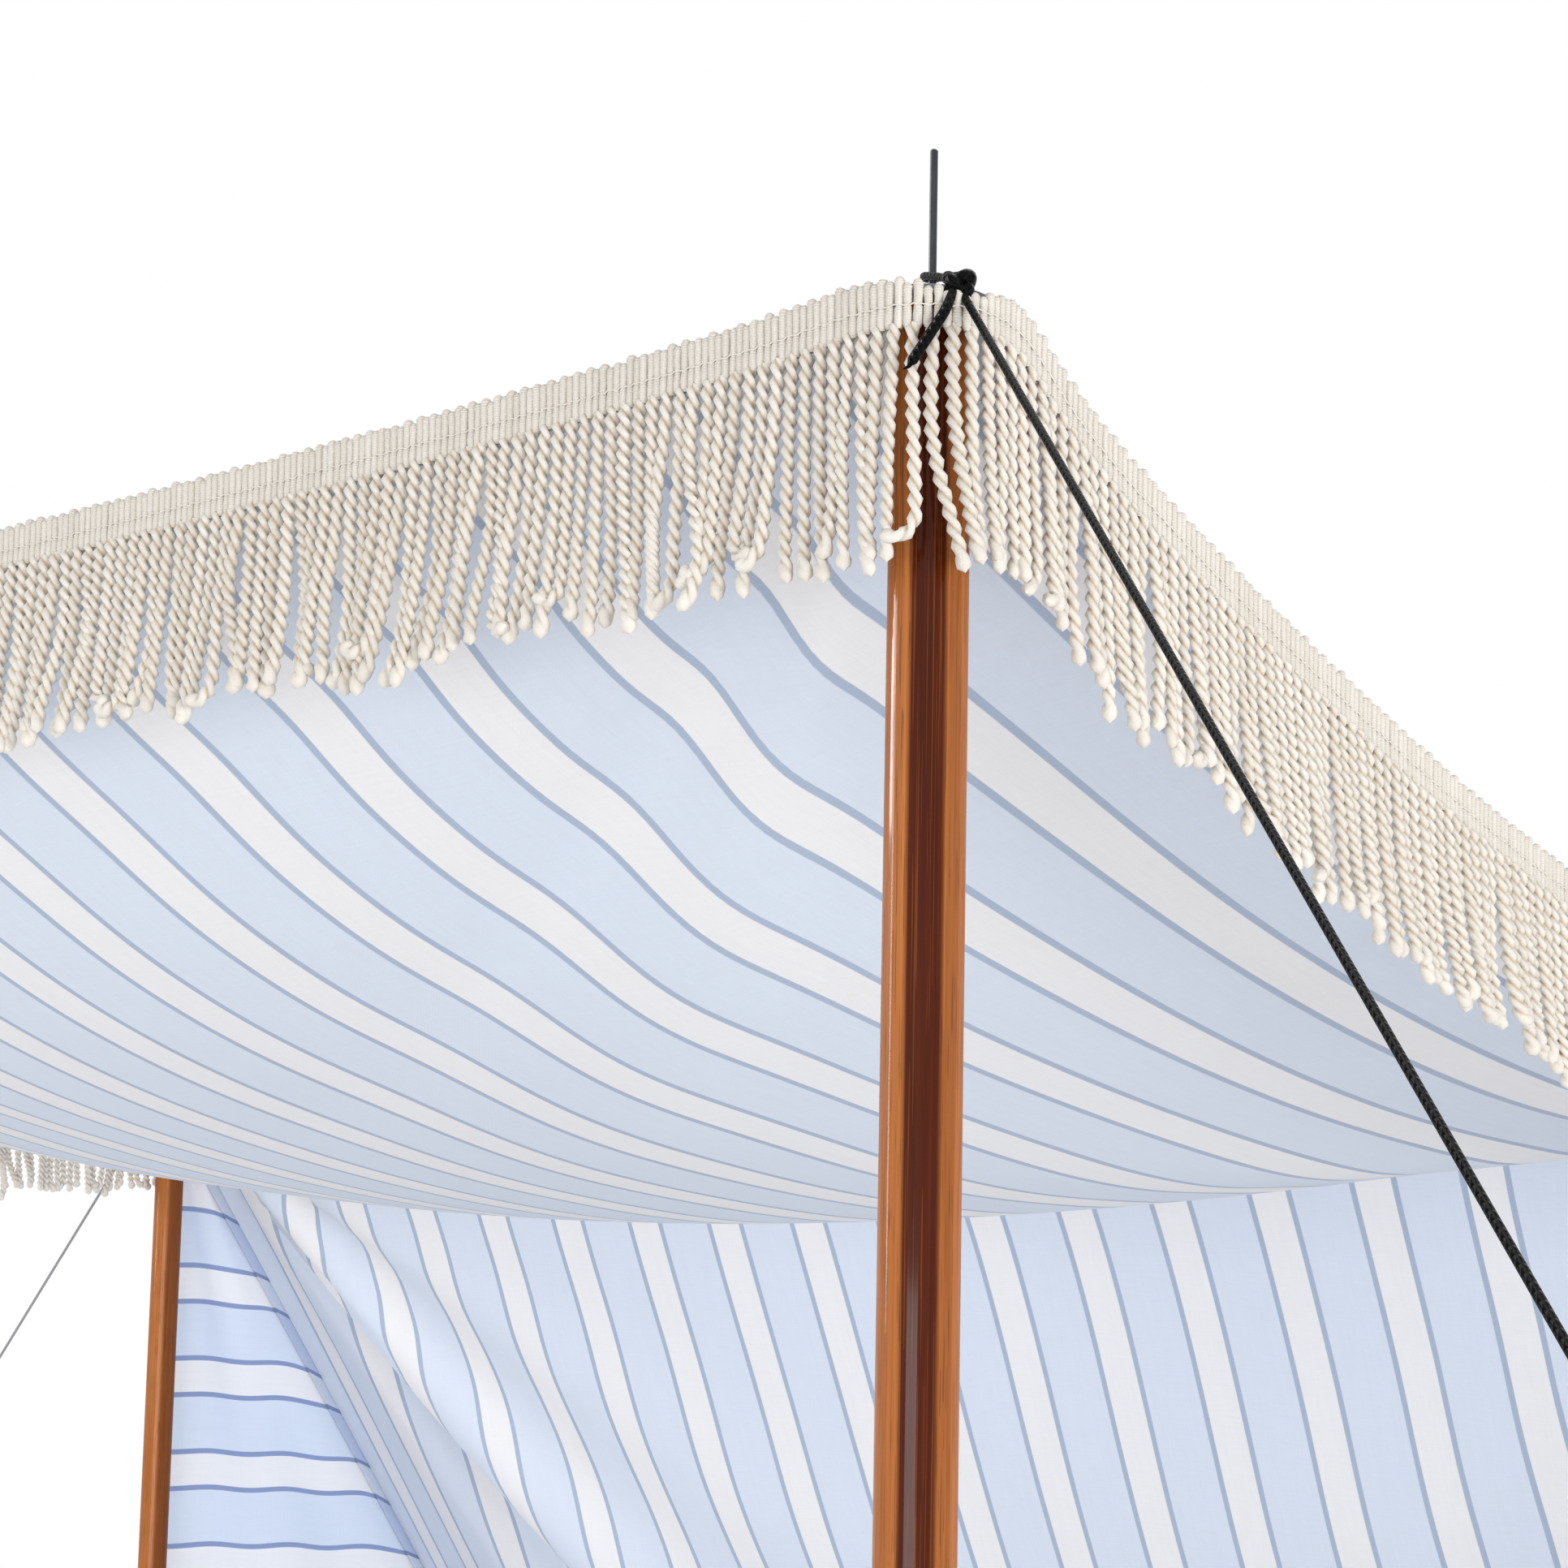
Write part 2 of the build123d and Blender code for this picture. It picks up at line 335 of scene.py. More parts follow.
def striped_canvas(name, white_middle, white, blue, line_blue):
    cloth, w = new_finish(name, Sheen_Weight=0.12, Sheen_Roughness=0.6, IOR=1.3)
    across = w.node("Attribute", {"attribute_name": "across"}, {}, out="Fac")
    along = w.node("Attribute", {"attribute_name": "along"}, {}, out="Fac")
    thread = w.node("CombineXYZ", {}, {0: across, 1: along})
    uneven = speckle(w, thread, 0.006, 2.0, (1, 0.05, 1))
    slubs = speckle(w, thread, 0.0016, 2.0, (1, 0.06, 1))
    fill = speckle(w, thread, 0.0016, 2.0, (0.06, 1, 1))
    wander = (uneven - 0.5) * 0.0008
    turn = ((across + wander - white_middle) / stripe_repeat + 0.5).maths("FRACT")
    distance = (turn - 0.5).maths("ABSOLUTE") * stripe_repeat
    band = w.mix(white, blue, edge_at(distance, white_half))
    line = edge_at(distance, line_inner) * (1 - edge_at(distance, line_outer))
    band = w.mix(band, line_blue, line)
    tone = 0.93 + slubs * 0.05 + fill * 0.05 + uneven * 0.04
    w.mix(band, tone.grey(), 1.0, "MULTIPLY").into("Base Color")
    (0.82 + slubs * 0.1).into("Roughness")
    warp = (across * (2 * math.pi / thread_pitch)).maths("SINE")
    weft = (along * (2 * math.pi / thread_pitch)).maths("SINE")
    (warp * weft * 0.5 + slubs + fill).raise_by(0.00012, 0.6)
    return cloth


canvas = striped_canvas(
    "striped_canvas",
    white_middle=0.048,
    white=shade(240, 240, 242),
    blue=shade(219, 228, 242),
    line_blue=shade(172, 186, 208),
)
x = roof_half_width * np.sin(np.linspace(-1.35, 1.35, 225)) / math.sin(1.35)
y = roof_middle + roof_half_depth * np.sin(np.linspace(-1.3, 1.3, 161)) / math.sin(1.3)
flat_x, flat_y = np.meshgrid(x, y)
out_x = np.clip(np.abs(flat_x) - half_width, 0, None)
out_y = np.clip(front_line - flat_y, 0, None)
rounding = np.maximum(out_x, out_y) / np.maximum(np.hypot(out_x, out_y), 1e-9)
bend = np.where((out_x > 0) & (out_y > 0), rounding, 1)
roof_x = np.sign(flat_x) * (np.minimum(np.abs(flat_x), half_width) + out_x * bend)
roof_y = np.maximum(flat_y, front_line) - out_y * bend
points = np.stack([roof_x, roof_y, roof_height(roof_x, roof_y)], -1)
roof = make_piece(
    "roof_canvas",
    points,
    grid_faces(*flat_x.shape),
    canvas,
    "striped_canvas",
    ["roof_cloth"],
    across=flat_x,
    along=flat_y,
)

# Back wall: the same canvas run on from the rear edge of the roof down to the ground.
# It slopes like a windbreak, bellies inward, ends in a stitched hem and hangs in soft
# slanting folds from its upper corners.
wall_top = rear_line + 0.0253
wall_run = 1.075
wall_edge = 1.0067
wall_slant = 1.8035
rear_corner = 1.4475
wall_belly = 0.110
normal = np.array([0.0, 0.8029, 0.5961])
# Folds that fan out from an upper corner: rise in mm, bearing and breadth in degrees, fading in m.
wall_folds = [
    (52.9, 16.6, 14.2, 0.38),
    (87.0, 34.1, 8.2, 0.56),
    (150.0, 54.1, 7.2, 0.72),
    (-56.7, 58.4, 5.45, 4.0),
    (18.5, 69.7, 8.65, 0.79),
    (134.1, 40.1, 6.0, 0.16),
    (-150.0, 52.55, 4.17, 0.27),
    (-150.0, 36.1, 7.16, 0.27),
]


def seam_dent(t):
    from_top = 1 - np.exp(-((wall_slant * t / 0.05) ** 2))
    return 0.0130 * np.exp(-t / 0.6) * from_top * np.clip((1 - t) / 0.2, 0, 1)


def wall_point(x, t):
    top = roof_height(x, np.full_like(x, roof_middle + roof_half_depth))
    slant = wall_slant * t
    u = x / wall_edge
    dent = wall_belly * 4 * t * (1 - t) * (1 - u**4)
    slack = np.exp(-(((u - 0.143) / 0.326) ** 2) - ((t - 0.108) / 0.09) ** 2)
    dent = dent - 0.0155 * slack * (1 - np.exp(-((slant / 0.07) ** 2)))
    for side, strength in ((-1, 1.0), (1, 0.55)):
        inward = wall_edge - side * x
        reach = np.hypot(inward, slant)
        bearing = np.degrees(np.arctan2(slant, inward))
        hold = 1 - np.exp(-((reach / 0.13) ** 2))
        hold = hold * (1 - np.exp(-((inward / 0.03) ** 2)))
        hold = hold * (1 - np.exp(-((slant / 0.04) ** 2)))
        fade = np.clip((1.35 - reach) / 0.6, 0, 1)
        hold = hold * fade * fade * (3 - 2 * fade) * strength
        dent = dent + seam_dent(t) * np.exp(-inward / 0.022)
        for rise, middle, breadth, fading in wall_folds:
            fan = np.exp(-(((bearing - middle) / breadth) ** 2) - reach / fading)
            dent = dent + 0.001 * rise * hold * fan
    line = np.stack([x, wall_top + wall_run * t, top * (1 - t) + 0.0006], -1)
    return line - dent[..., None] * normal


flat_x, t = np.meshgrid(np.linspace(-wall_edge, wall_edge, 241), np.linspace(0, 1, 116))
points = wall_point(flat_x, t)
wall = make_piece(
    "back_wall_canvas",
    points,
    grid_faces(*flat_x.shape),
    canvas,
    "striped_canvas",
    ["back_wall"],
    across=flat_x,
    along=t * wall_slant,
)

# Side wings: two triangles of the same canvas, bands nearly level, sewn to the back wall.
# They close the gap to the rear poles, and the edge of each is turned back along its seam, with its
# bands painted darker as shade.
# Tapes cover the seam along the ridge and the hem of the wall.
# The wings' copy of the canvas has darker, bluer lines: painted shade on the wings, which hang in
# the shade of the roof.
wing_canvas_shaded = striped_canvas(
    "wing_canvas_shaded",
    white_middle=0.0426,
    white=shade(240, 241, 245),
    blue=shade(217, 228, 245),
    line_blue=shade(140, 158, 200),
)
# The turned edge shows the wing's bands in darker tones: painted shade in the fold along the seam.
turned_edge_shaded_canvas = striped_canvas(
    "wing_turned_edge_shaded",
    white_middle=0.0426,
    white=shade(200, 208, 226),
    blue=shade(182, 194, 222),
    line_blue=shade(122, 138, 180),
)
wing_plane = 1.008
wing_front = rear_line + 0.0156
wing_top = 1.443


def seam_back(level):
    t = 1 - level / rear_corner
    return wall_top + wall_run * t - 1.2456 * seam_dent(np.clip(t, 0, 1))


def wing_point(side, share, level):
    back = seam_back(level)
    y = wing_front + (back - wing_front) * share
    wave = 0.002 * np.sin(share * 9 + level * 5) + 0.0015 * np.sin(share * 17 - level * 8)
    wave = wave * np.sin(np.pi * np.clip(share, 0, 1)) ** 0.5
    dip = 0.008 * np.exp(-((1 - share) * (back - wing_front) / 0.016))
    return np.stack([side * wing_plane + wave, y, np.clip(level - dip, 0.0004, None)], -1)


def wing_band(y, level):
    behind = y - rear_line
    droop = 0.085 * behind * (1 - np.exp(-behind / 0.12))
    return level + droop + 0.0016 * np.sin(behind * 55 + level * 6) * (1 - np.exp(-behind / 0.06))


def tape_along(points, outward, breadth, lift):
    run = np.gradient(points, axis=0)
    run = run / np.linalg.norm(run, axis=1, keepdims=True)
    over = np.cross(run, outward)
    over = over / np.linalg.norm(over, axis=1, keepdims=True)
    shape = [(-0.5, 0.0), (-0.46, 1.0), (-0.2, 1.25), (0.2, 1.25), (0.46, 1.0), (0.5, 0.0)]
    shape = np.array(shape)
    rows = points[:, None] + over[:, None] * shape[None, :, :1] * breadth
    rows = rows + outward * shape[None, :, 1:] * lift
    across = np.broadcast_to(shape[:, 0] * breadth, rows.shape[:2])
    along = np.concatenate([[0], np.cumsum(np.linalg.norm(np.diff(points, axis=0), axis=1))])
    along = np.broadcast_to(along[:, None], rows.shape[:2])
    return rows, grid_faces(*rows.shape[:2]), across, along


tape_finish, w = new_finish("seam_tape", Sheen_Weight=0.1)
across = w.node("Attribute", {"attribute_name": "across"}, {}, out="Fac")
along = w.node("Attribute", {"attribute_name": "along"}, {}, out="Fac")
thread = w.node("CombineXYZ", {}, {0: across, 1: along})
weave = speckle(w, thread, 0.0012, 2.0, (1, 0.2, 1))
stitch = edge_at((across.maths("ABSOLUTE") - 0.0046).maths("ABSOLUTE"), 0.0004, 0.0003)
dash = (along / 0.0032).maths("FRACT").maths("GREATER_THAN", 0.28)
sewn = (1 - stitch) * dash
blue = w.mix(shade(164, 178, 209), shade(180, 193, 221), weave)
w.mix(blue, shade(196, 206, 228), sewn).into("Base Color")
(0.85 + weave * 0.1).into("Roughness")
(weave * 0.4 + sewn).raise_by(0.0002, 0.6)

for name, side in {"right": 1, "left": -1}.items():
    share, level = np.meshgrid(np.linspace(0, 1, 70), np.linspace(0, wing_top, 130))
    points = wing_point(side, share, level)
    wing = make_piece(
        f"side_wing_canvas_{name}",
        points,
        grid_faces(*share.shape),
        wing_canvas_shaded,
        "striped_canvas",
        [f"side_wing_{name}"],
        across=wing_band(points[..., 1], level),
        along=points[..., 1],
    )
    t = np.linspace(0.004, 0.985, 180)
    level = rear_corner * (1 - t)
    inside = np.full_like(t, side * (wing_plane - 0.0028))
    seam = np.stack([inside, seam_back(level) - 0.0050, level - 0.0037], -1)
    rows, faces, across, along = tape_along(seam, np.array([-float(side), 0.0, 0.0]), 0.012, 0.0009)
    before = seam_back(rows[..., 2]) - rows[..., 1]
    bands = wing_band(rows[..., 1], rows[..., 2] + 0.0034 + 0.0065 * (1 - before / 0.0137))
    make_piece(
        f"wing_turned_edge_shaded_{name}",
        rows,
        faces,
        turned_edge_shaded_canvas,
        "striped_canvas",
        across=bands,
        along=rows[..., 1],
    )

x = np.linspace(-wall_edge, wall_edge, 160)
ridge = np.full_like(x, wall_top)
seam = np.stack([x, ridge - 0.0008, roof_height(x, ridge) + 0.0006], -1)
rows, faces, across, along = tape_along(seam, np.array([0.0, 0.55, 0.83]), 0.012, 0.0011)
sewn_on = {"across": across, "along": along}
make_piece("ridge_seam_tape", rows, faces, tape_finish, "striped_canvas", **sewn_on)
t = np.full(160, 1.0)
hem = wall_point(x, t) + np.array([0.0, -0.0085, 0.012])
rows, faces, across, along = tape_along(hem, normal, 0.022, 0.0012)
sewn_on = {"across": across, "along": along}
make_piece("wall_hem_tape", rows, faces, tape_finish, "striped_canvas", **sewn_on)

# Eyelets: rolled brass rings set in the four corners of the roof, where the pins come through.
# Each is a domed flange on top, rolled over a tube that passes through the cloth.
brass, w = new_finish("satin_brass", Metallic=1.0)
place = w.node("TexCoord", {}, {}, out="Object")
tarnish = speckle(w, place, 0.003, 3.0)
w.mix(shade(198, 158, 92), shade(150, 112, 58), tarnish).into("Base Color")
(0.26 + tarnish * 0.3).into("Roughness")
tarnish.raise_by(0.00003)
eyelet_hole = 0.0022
flange_breadth = 0.0058
flange_radius = 0.008
for name, (x, y, top) in corners.items():
    dome = [
        (eyelet_hole + flange_breadth * k / 10, top + 0.0042 + 0.0018 * math.sin(math.pi * k / 10))
        for k in range(11)
    ]
    profile = [(eyelet_hole, top + 0.0002), *dome, (flange_radius, top + 0.0002)]
    points, faces = turned(profile, x, y, 40)
    make_piece(f"eyelet_ring_{name}", points, faces, brass, "eyelet_brass", [f"eyelet_{name}"])

# Fringe: cream cotton bullion sewn outside the front and side edges of the roof and taken
# round the front corners. Its heading is a row of corded ribs held by a line of stitching,
# and each pair of ribs ends in a two-ply strand.
stitch_pitch = 0.0070
heading_drop = 0.0165
strand_drop = 0.0885
side_run = roof_half_depth * 2 - 0.025
front_run = half_width * 2
bend_run = 0.0253 * math.pi / 2
edge_run = side_run * 2 + bend_run * 2 + front_run
knot_places = (side_run + bend_run * 0.316, side_run + bend_run * 1.684 + front_run)


def edge_place(s, out):
    centre = np.zeros((len(s), 2))
    facing = np.zeros((len(s), 2))
    rear = roof_middle + roof_half_depth
    a = np.clip(s, 0, side_run)
    first_bend = np.clip((s - side_run) / bend_run, 0, 1) * math.pi / 2
    b = np.clip(s - side_run - bend_run, 0, front_run)
    second_bend = np.clip((s - side_run - bend_run - front_run) / bend_run, 0, 1) * math.pi / 2
    c = np.clip(s - edge_run + side_run, 0, side_run)
    centre[:, 0] = -half_width + b
    centre[:, 1] = rear - a + c
    turn = math.pi + first_bend + second_bend
    facing[:, 0] = np.cos(turn)
    facing[:, 1] = np.sin(turn)
    at = centre + facing * out
    cloth = centre + facing * 0.024
    return np.column_stack([at, roof_height(cloth[:, 0], cloth[:, 1])]), facing


def rib_pitch(s):
    from_corner = np.min([np.abs(s - place) for place in knot_places], axis=0)
    return np.interp(from_corner, [0.02, 0.36, 0.60], [0.0033, 0.0040, 0.0042])


def smooth_wave(s, seed, *lengths):
    chance = np.random.default_rng(seed)
    total = np.zeros_like(s)
    for length in lengths:
        phase = chance.uniform(0, 2 * np.pi)
        total = total + np.sin(2 * np.pi * s / length + phase) * chance.uniform(0.6, 1.0)
    return total / len(lengths)


cotton, w = new_finish("cream_cotton", Sheen_Weight=0.2, Sheen_Roughness=0.5, IOR=1.3)
place = w.node("TexCoord", {}, {}, out="Object")
crown = w.node("Attribute", {"attribute_name": "crown"}, {}, out="Fac")
tint = w.node("Attribute", {"attribute_name": "tint"}, {}, out="Fac")
wrap = w.node("Attribute", {"attribute_name": "wrap"}, {}, out="Fac")
fibre = speckle(w, place, 0.0008, 3.0)
cloud = speckle(w, place, 0.02, 2.0)
level = w.node("SeparateXYZ", {}, {"Vector": place}, out=2)
rings = ((level + fibre * 0.0005) * (2 * math.pi / 0.0011)).maths("SINE") * wrap
cream = w.mix(shade(230, 225, 217), shade(217, 210, 200), tint * 0.7 + cloud * 0.3)
# Painted shade: a warm tan darkens the cream where the crown light is low, in the grooves between
# plies and between heading ribs.
cream = w.mix(shade(188, 170, 143), cream, (crown * 1.6).maths("ADD", 0.02, clamp=True))
w.mix(cream, (0.93 + fibre * 0.12 + rings * 0.03).grey(), 1.0, "MULTIPLY").into("Base Color")
(0.85 + fibre * 0.12).into("Roughness")
(fibre + rings * 0.35).raise_by(0.0004, 0.7)


def heading_ribs(s, seed):
    chance = np.random.default_rng(seed)
    places, facing = edge_place(s, 0.0276)
    run = np.column_stack([-facing[:, 1], facing[:, 0]])
    count = len(s)
    sides = 6
    top_drop = [-0.0028, -0.0023, -0.0012, 0.0010, 0.0045, 0.0078]
    drop = np.array([*top_drop, 0.0086, 0.0094, 0.0125, 0.0156, 0.0172])
    full = np.array([0.22, 0.74, 1.08, 1.0, 0.97, 0.92, 0.76, 0.92, 1.0, 0.96, 0.55])
    around = np.linspace(0, 2 * np.pi, sides, endpoint=False) + math.pi / 6
    tall = np.arange(count) % 2
    lift = 0.0014 * tall - 0.0009 + chance.normal(0, 0.00035, count)
    for knot_place in knot_places:
        lift = lift - 0.0058 * np.exp(-(((s - knot_place) / 0.017) ** 2))
    slip = chance.normal(0, 0.00016, (count, 1)) + chance.normal(0, 0.0001, (count, len(drop)))
    girth = 0.53 * rib_pitch(s) * (1 + 0.05 * tall + chance.normal(0, 0.03, count))
    wide = girth[:, None, None] * full[None, :, None] * np.cos(around) * 1.06 + slip[..., None]
    deep = 0.0022 * full[None, :, None] * np.sin(around)
    squash = np.clip(1 - drop / 0.006, 0, 1)
    points = np.zeros((count, len(drop), sides, 3))
    points[..., :2] = places[:, None, None, :2] + run[:, None, None] * wide[..., None]
    points[..., :2] += facing[:, None, None] * deep[..., None]
    raised = (lift[:, None] * squash)[..., None]
    points[..., 2] = places[:, None, None, 2] - drop[None, :, None] + raised
    faces = ring_faces(len(drop), sides)
    faces = (faces[None] + np.arange(count)[:, None, None] * len(drop) * sides).reshape(-1, 4)
    # Painted shade on each rib: darker on the sides that face the next rib and at its pinched
    # rings.
    painted_light_share = (0.2 + 0.8 * np.abs(np.sin(around))) * np.clip(full, 0.6, 1)[None, :, None]
    crown = np.broadcast_to(painted_light_share, points.shape[:3])
    tint = np.broadcast_to(chance.uniform(0.35, 1.2, count)[:, None, None], points.shape[:3])
    return points, faces, crown, tint


def twisted_strands(s, seed):
    chance = np.random.default_rng(seed)
    count = len(s)
    rings = 48
    places, facing = edge_place(s, 0.0284)
    run = np.column_stack([-facing[:, 1], facing[:, 0]])
    share = np.linspace(0, 1, rings)
    length = 1 + chance.normal(0, 0.035, count) + 0.04 * smooth_wave(s, seed + 1, 0.31, 0.13)
    length = strand_drop * length
    lean = 0.11 * smooth_wave(s, seed + 2, 0.42, 0.17, 0.083) + chance.normal(0, 0.045, count)
    out = 0.025 + 0.02 * smooth_wave(s, seed + 3, 0.23, 0.09) + chance.uniform(-0.02, 0.05, count)
    breeze = np.interp(
        s / edge_run,
        [0, 0.05, 0.28, 0.34, 0.60, 0.70, 0.77, 0.95, 1],
        [0, -0.22, -0.22, -0.2, -0.24, -0.02, 0.24, 0.24, 0],
    )
    bent = chance.uniform(0, 1, count) < 0.13
    hooked = chance.choice([-1, 1], count) * chance.uniform(1.0, 2.1, count)
    curl = np.where(bent, hooked, chance.normal(0, 0.22, count))
    wobble = chance.normal(0, 0.13, count)
    swing = lean[:, None] * (1 - np.exp(-4 * share))
    swing = swing + wobble[:, None] * np.sin(share * 6 + 4 * curl[:, None]) * np.sqrt(share)
    swing = swing + breeze[:, None] * share
    swing = swing + curl[:, None] * np.clip((share - 0.80) / 0.16, 0, 1) ** 1.4
    tilt = out[:, None] * (1 - np.exp(-5 * share))
    tilt = tilt + 0.12 * np.abs(curl)[:, None] * np.clip((share - 0.8) / 0.2, 0, 1)
    step = (length / (rings - 1))[:, None]
    down = np.cumsum(np.cos(swing) * np.cos(tilt) * step, 1) - step
    sideways = np.cumsum(np.sin(swing) * step, 1)
    outward = np.cumsum(np.sin(tilt) * step, 1)
    around = np.radians([0, 48, 90, 132, 180, 228, 270, 312])
    ply = 0.001 * np.array([3.15, 2.25, 1.2, 2.25, 3.15, 2.25, 1.2, 2.25])
    pitch = 0.0118 * (1 + chance.normal(0, 0.06, count))
    loosen = share - 0.05 * np.clip((share - 0.9) / 0.1, 0, 1) ** 2
    start = chance.uniform(0, 2 * np.pi, count)[:, None]
    twist = start - 2 * np.pi * (length / pitch)[:, None] * loosen
    fold = np.clip((share - 0.88) / 0.1, 0, 1)[:, None]
    lobe = ply * (1 - 0.7 * fold) + 0.0030 * 0.7 * fold
    end = np.clip((1 - share) / 0.034, 0, 1)
    size = np.sqrt(1 - (1 - end) ** 2) * (1 + 0.10 * np.exp(-(((share - 0.95) / 0.03) ** 2)))
    size = np.maximum(size, 0.03) * np.where(share < 0.012, 0.45, 1)
    thick = rib_pitch(s) / 0.0035 * (1 + chance.normal(0, 0.04, count))
    angle = around + twist[..., None]
    reach = lobe[None] * size[None, :, None] * thick[:, None, None]
    wide = reach * np.cos(angle)
    deep = reach * np.sin(angle)
    points = np.zeros((count, rings, len(around), 3))
    flat = (sideways[..., None] + np.cos(swing)[..., None] * wide)[..., None] * run[:, None, None]
    away = (outward[..., None] + deep)[..., None] * facing[:, None, None]
    points[..., :2] = places[:, None, None, :2] + flat + away
    points[..., 2] = places[:, None, None, 2] - heading_drop + 0.0012 - down[..., None]
    points[..., 2] += np.sin(swing)[..., None] * wide
    faces = ring_faces(rings, len(around))
    faces = (faces[None] + np.arange(count)[:, None, None] * rings * len(around)).reshape(-1, 4)
    # Painted shade in the groove between the two plies, full light on their crowns.
    groove = np.array([1.0, 0.62, 0.0, 0.62, 1.0, 0.62, 0.0, 0.62])
    crown = np.broadcast_to(groove * (1 - fold) + 0.8 * fold, points.shape[:3])
    tint = np.broadcast_to(chance.uniform(0, 1, count)[:, None, None], points.shape[:3])
    return points, faces, crown, tint


s = np.linspace(0, edge_run, 4001)
rib_count = np.concatenate([[0], np.cumsum(np.diff(s) / rib_pitch(s[1:]))])
ribs = np.interp(np.arange(0.5, rib_count[-1]), rib_count, s)
strands = np.interp(np.arange(1, rib_count[-1], 2), rib_count, s)
front_start = side_run
front_end = side_run + bend_run * 2 + front_run
stretches = {
    "left": (0, front_start, "fringe_left"),
    "front_left_half": (front_start, edge_run / 2, "fringe_front"),
    "front_right_half": (edge_run / 2, front_end, "fringe_front"),
    "right": (front_end, edge_run, "fringe_right"),
}
for index, (name, (first, last, node)) in enumerate(stretches.items()):
    chosen = ribs[(ribs >= first) & (ribs < last)]
    points, faces, crown, tint = heading_ribs(chosen, 100 + index)
    make_piece(
        f"fringe_heading_{name}",
        points,
        faces,
        cotton,
        "fringe_cotton",
        crown=crown,
        tint=tint,
        wrap=np.ones_like(tint),
    )
    chosen = strands[(strands >= first) & (strands < last)]
    points, faces, crown, tint = twisted_strands(chosen, 200 + 10 * index)
    make_piece(
        f"fringe_strands_{name}",
        points,
        faces,
        cotton,
        "fringe_cotton",
        [node],
        crown=crown,
        tint=tint,
        wrap=np.zeros_like(tint),
    )


def tube(path, radius, sides):
    path = np.asarray(path, float)
    run = np.gradient(path, axis=0)
    run = run / np.linalg.norm(run, axis=1, keepdims=True)
    across = np.cross(run[0], (0.31, 0.52, 0.79))
    frames = []
    for direction in run:
        across = across - direction * (across @ direction)
        across = across / np.linalg.norm(across)
        frames.append((across, np.cross(direction, across)))
    frames = np.array(frames)
    around = np.linspace(0, 2 * np.pi, sides, endpoint=False)
    radius = np.broadcast_to(np.asarray(radius, float), len(path))
    circle = frames[:, None, 0] * np.cos(around)[None, :, None]
    circle = circle + frames[:, None, 1] * np.sin(around)[None, :, None]
    points = path[:, None] + circle * radius[:, None, None]
    along = np.concatenate([[0], np.cumsum(np.linalg.norm(np.diff(path, axis=0), axis=1))])
    along = np.broadcast_to(along[:, None], points.shape[:2])
    turn = np.broadcast_to(around[None], points.shape[:2])
    return points, ring_faces(len(path), sides), along, turn


s = np.arange(0.002, edge_run - 0.002, stitch_pitch / 4)
places, facing = edge_place(s, 0.0276 + 0.00165)
stitch_step = (s / stitch_pitch) % 1
places[:, 2] += -0.0086 + 0.0011 * (np.clip(stitch_step * 4 - 2.2, 0, 1) - stitch_step)
points, faces, along, turn = tube(places, 0.0003, 5)
make_piece(
    "fringe_stitch_line",
    points,
    faces,
    cotton,
    "fringe_cotton",
    crown=np.ones_like(along),
    tint=np.zeros_like(along),
    wrap=np.zeros_like(along),
)

# Guy cords: black braided cord looped round each pin, tied in a knot on the fringe heading
# with a loose tail. The standing part runs taut to a peg in the ground and ends in a
# spliced loop; the rear pair is pale grey.
guy_runs = {"front": (1.480, -0.800), "rear": (1.420, 0.100)}


def braided_cord(name, dark, light):
    cord, w = new_finish(name, IOR=1.2)
    along = w.node("Attribute", {"attribute_name": "along"}, {}, out="Fac")
    turn = w.node("Attribute", {"attribute_name": "turn"}, {}, out="Fac")
    lean = along * (2 * math.pi / 0.0030)
    left = (turn * 4 + lean).maths("SINE")
    right = (turn * 4 - lean).maths("SINE")
    braid = left.maths("MAXIMUM", right)
    thread = w.node("CombineXYZ", {}, {0: turn * 0.002, 1: along})
    lint = speckle(w, thread, 0.0009, 3.0)
    # Painted highlight: the braid crests take the lighter colour, with random tone from the lint.
    painted_light_share = (braid * 0.55 + lint * 0.7 - 0.5).maths("ADD", 0.0, clamp=True)
    w.mix(dark, light, painted_light_share).into("Base Color")
    (0.28 + lint * 0.3).into("Roughness")
    (braid + lint * 0.4).raise_by(0.0007, 0.9)
    return cord


black_cord = braided_cord("black_braided_cord", shade(3, 3, 4), shade(22, 22, 24))
grey_cord = braided_cord("pale_braided_cord", shade(168, 168, 170), shade(206, 206, 206))


def smooth_path(marks, count):
    marks = np.asarray(marks, float)
    marks = np.vstack([2 * marks[0] - marks[1], marks, 2 * marks[-1] - marks[-2]])
    path = []
    for k in range(1, len(marks) - 2):
        a, b, c, d = marks[k - 1 : k + 3]
        for u in np.linspace(0, 1, count, endpoint=False):
            curve = 2 * b + (c - a) * u + (2 * a - 5 * b + 4 * c - d) * u**2
            path.append(0.5 * (curve + (3 * b - a - 3 * c + d) * u**3))
    path.append(marks[-2])
    return np.array(path)


def join(parts):
    points, faces, along, turn = [], [], [], []
    first = 0
    for p, f, a, r in parts:
        points.append(p.reshape(-1, 3))
        faces.append(f + first)
        along.append(a.ravel())
        turn.append(r.ravel())
        first += points[-1].shape[0]
    return [np.concatenate(part) for part in (points, faces, along, turn)]


